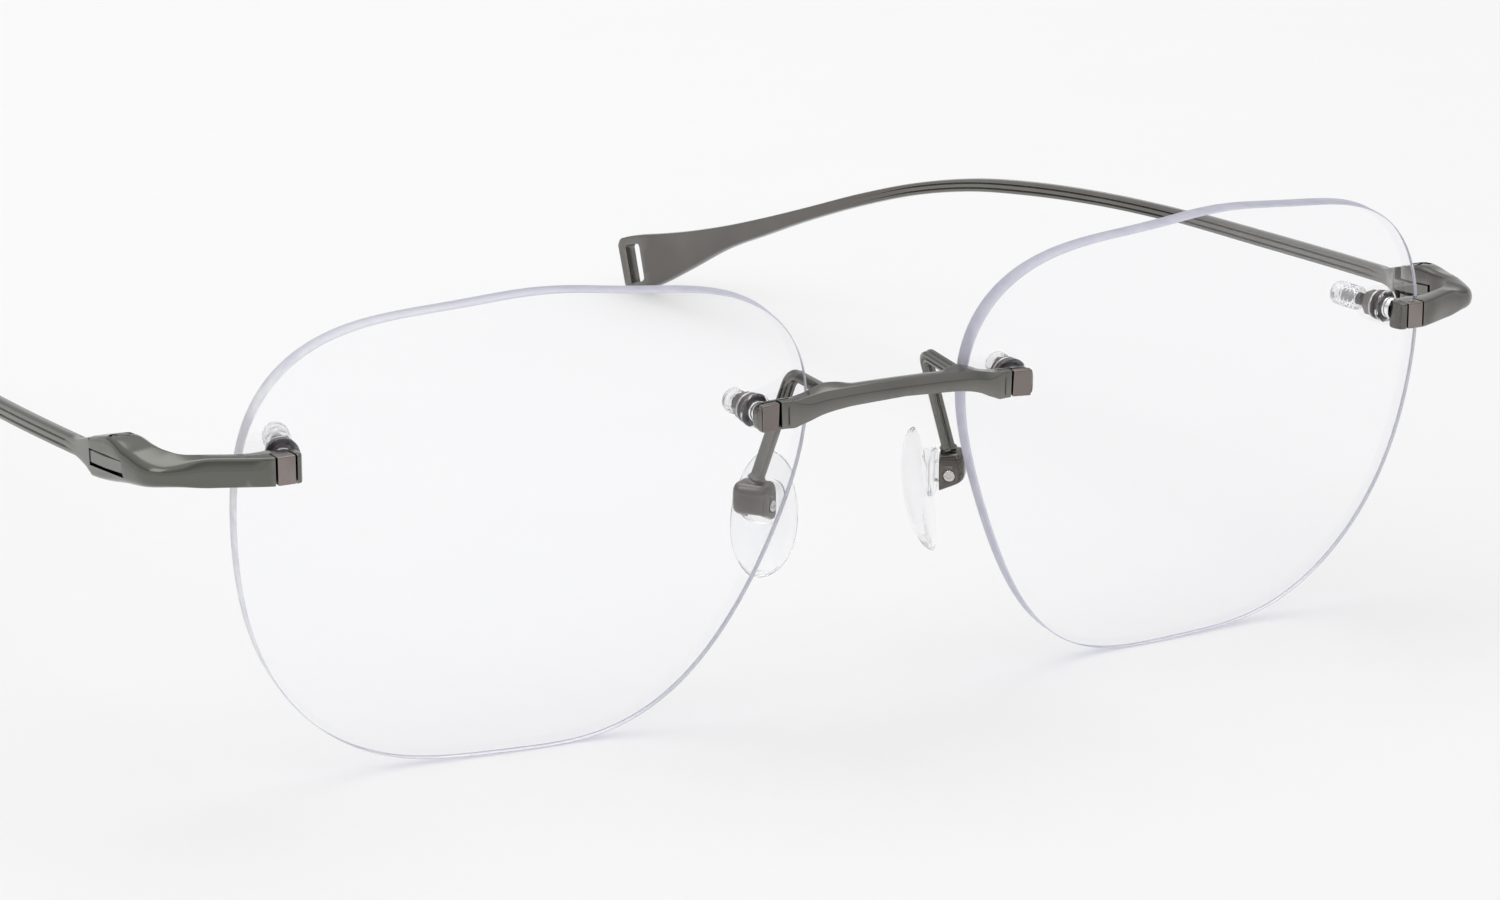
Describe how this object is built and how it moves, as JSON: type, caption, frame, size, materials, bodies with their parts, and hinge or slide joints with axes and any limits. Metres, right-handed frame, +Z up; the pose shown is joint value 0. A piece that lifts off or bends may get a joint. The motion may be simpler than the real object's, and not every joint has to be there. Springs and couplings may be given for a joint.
{
  "type": "rimless eyeglasses",
  "caption": "Rimless eyeglasses with clear drilled lenses, a slim metal bridge, claw lens mounts, adjustable nose pads and folding temples with slotted tips.",
  "frame": {"origin": "centre of the footprint on the table, with the glasses standing open on their lens edges and temple tips", "axes": "+Z up, front of the glasses faces -Y, temples run back along +Y, wearer's left is +X, the plane X = 0 is the mirror plane"},
  "size_m": [0.1372, 0.1598, 0.0426],
  "materials": {
    "lens": "clear, polished, faint violet edge",
    "gunmetal": "satin grey-green gunmetal plating",
    "stud_metal": "polished warm grey",
    "bright_metal": "bright",
    "dark_washer": "near-black",
    "clear_plastic": "clear moulded bush",
    "clear_cap": "clear soft cap",
    "clear_pad": "clear silicone"
  },
  "bodies": {
    "front": {"lens_left": "lens", "lens_right": "lens", "bridge": "gunmetal", "endpiece_left": "gunmetal", "endpiece_right": "gunmetal", "stud_temporal_left": "stud_metal", "stud_temporal_right": "stud_metal", "stud_nasal_left": "stud_metal", "stud_nasal_right": "stud_metal", "bush_temporal_left": "clear_plastic", "bush_temporal_right": "clear_plastic", "bush_nasal_left": "clear_plastic", "bush_nasal_right": "clear_plastic", "dark_washer_temporal_left": "dark_washer", "dark_washer_temporal_right": "dark_washer", "dark_washer_nasal_left": "dark_washer", "dark_washer_nasal_right": "dark_washer", "metal_washer_temporal_left": "bright_metal", "metal_washer_temporal_right": "bright_metal", "metal_washer_nasal_left": "bright_metal", "metal_washer_nasal_right": "bright_metal", "nut_temporal_left": "gunmetal", "nut_temporal_right": "gunmetal", "nut_nasal_left": "gunmetal", "nut_nasal_right": "gunmetal", "cap_temporal_left": "clear_cap", "cap_temporal_right": "clear_cap", "cap_nasal_left": "clear_cap", "cap_nasal_right": "clear_cap", "pad_arm_left": "gunmetal", "pad_arm_right": "gunmetal", "pad_box_left": "gunmetal", "pad_box_right": "gunmetal", "pad_screw_left": "bright_metal", "pad_screw_right": "bright_metal", "hinge_screw_left": "gunmetal", "hinge_screw_right": "gunmetal"},
    "temple_left": {"temple_left": "gunmetal"},
    "temple_right": {"temple_right": "gunmetal"},
    "pad_left": {"nose_pad_left": "clear_pad"},
    "pad_right": {"nose_pad_right": "clear_pad"}
  },
  "joints": [
    {"name": "temple_fold_left", "type": "hinge", "parent": "front", "child": "temple_left", "pos_m": [0.0662, -0.0644, 0.02876], "axis": [0, 0.0785, 0.9969], "range_deg": [0, 87]},
    {"name": "temple_fold_right", "type": "hinge", "parent": "front", "child": "temple_right", "pos_m": [-0.0662, -0.0644, 0.02876], "axis": [0, -0.0785, -0.9969], "range_deg": [0, 81]},
    {"name": "pad_rock_left", "type": "hinge", "parent": "front", "child": "pad_left", "pos_m": [0.01034, -0.07033, 0.01921], "axis": [-0.6004, -0.7997, 0], "range_deg": [-6, 6]},
    {"name": "pad_rock_right", "type": "hinge", "parent": "front", "child": "pad_right", "pos_m": [-0.01034, -0.07033, 0.01921], "axis": [-0.6004, 0.7997, 0], "range_deg": [-6, 6]}
  ]
}
